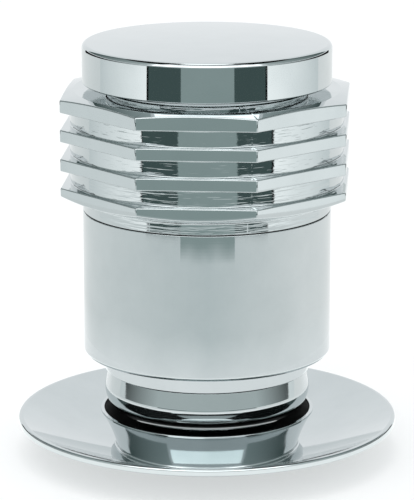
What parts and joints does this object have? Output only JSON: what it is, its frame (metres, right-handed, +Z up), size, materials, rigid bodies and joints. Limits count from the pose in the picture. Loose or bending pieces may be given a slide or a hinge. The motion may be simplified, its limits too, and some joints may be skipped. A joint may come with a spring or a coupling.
{
  "type": "automatic air vent",
  "caption": "Float-operated automatic air vent: finned octagonal bonnet, screw-down vent cap, round float chamber and a dished wall rosette around its male inlet.",
  "frame": {"origin": "on the vent's axis at the end of the inlet tail, which is also the lowest plane of the rosette", "axes": "+Z up along the axis from the inlet to the cap; -Y towards one flat of the octagon; +X towards the float stirrup's side of the lever"},
  "size_m": [0.071, 0.071, 0.0785],
  "materials": {
    "chrome_plate": "polished chrome plate on brass",
    "brass": "turned, uncoated",
    "stainless_steel": "pressed and drawn, satin",
    "epdm_rubber": "moulded, matte",
    "red_fibre": "vulcanised fibre sheet, matte",
    "polypropylene": "moulded, natural"
  },
  "bodies": {
    "vent_body": {"inlet_connector": "chrome_plate", "inlet_strainer": "stainless_steel", "strainer_retaining_ring": "stainless_steel", "connector_seal": "epdm_rubber", "float_chamber": "chrome_plate", "splash_baffle": "polypropylene", "bonnet_seal": "epdm_rubber", "bonnet": "chrome_plate", "lever_bracket": "stainless_steel", "lever_pin": "stainless_steel", "pin_clips": "stainless_steel", "bracket_screws": "stainless_steel", "vent_seat": "brass", "seat_washer": "red_fibre", "valve_spring": "stainless_steel"},
    "rosette": {"rosette": "chrome_plate"},
    "float": {"float_lower_shell": "polypropylene", "float_upper_shell": "polypropylene", "float_stirrup": "polypropylene"},
    "lever": {"float_lever": "stainless_steel"},
    "valve_stem": {"valve_stem": "brass", "seal_disc": "epdm_rubber"},
    "cap_washer": {"cap_washer": "epdm_rubber"},
    "vent_cap": {"vent_cap": "chrome_plate"}
  },
  "joints": [
    {"name": "rosette_slide", "type": "slide", "parent": "vent_body", "child": "rosette", "axis": [0, 0, 1], "range_m": [0, 0.0026]},
    {"name": "stem_lift", "type": "slide", "parent": "vent_body", "child": "valve_stem", "axis": [0, 0, 1], "range_m": [0, 0.00145], "stiffness_N_per_m": 2, "springref_m": -0.002, "deforming": ["valve_spring"]},
    {"name": "float_rise", "type": "slide", "parent": "vent_body", "child": "float", "axis": [0, 0, 1], "range_m": [0, 0.00291]},
    {"name": "lever_turn", "type": "hinge", "parent": "vent_body", "child": "lever", "pos_m": [-0.009, 0, 0.0525], "axis": [0, -1, 0], "range_deg": [0, 9.26]},
    {"name": "cap_rise", "type": "slide", "parent": "vent_body", "child": "cap_washer", "axis": [0, 0, 1], "range_m": [0, 0.00225]},
    {"name": "cap_turn", "type": "hinge", "parent": "cap_washer", "child": "vent_cap", "pos_m": [0, 0, 0.074], "axis": [0, 0, 1], "range_deg": [0, 541]}
  ],
  "couplings": [
    {"joint": "float_rise", "follows": "stem_lift", "ratio": 2},
    {"joint": "lever_turn", "follows": "stem_lift", "rad_per_m": 111.11},
    {"joint": "cap_turn", "follows": "cap_rise", "rad_per_m": 4188.8}
  ]
}
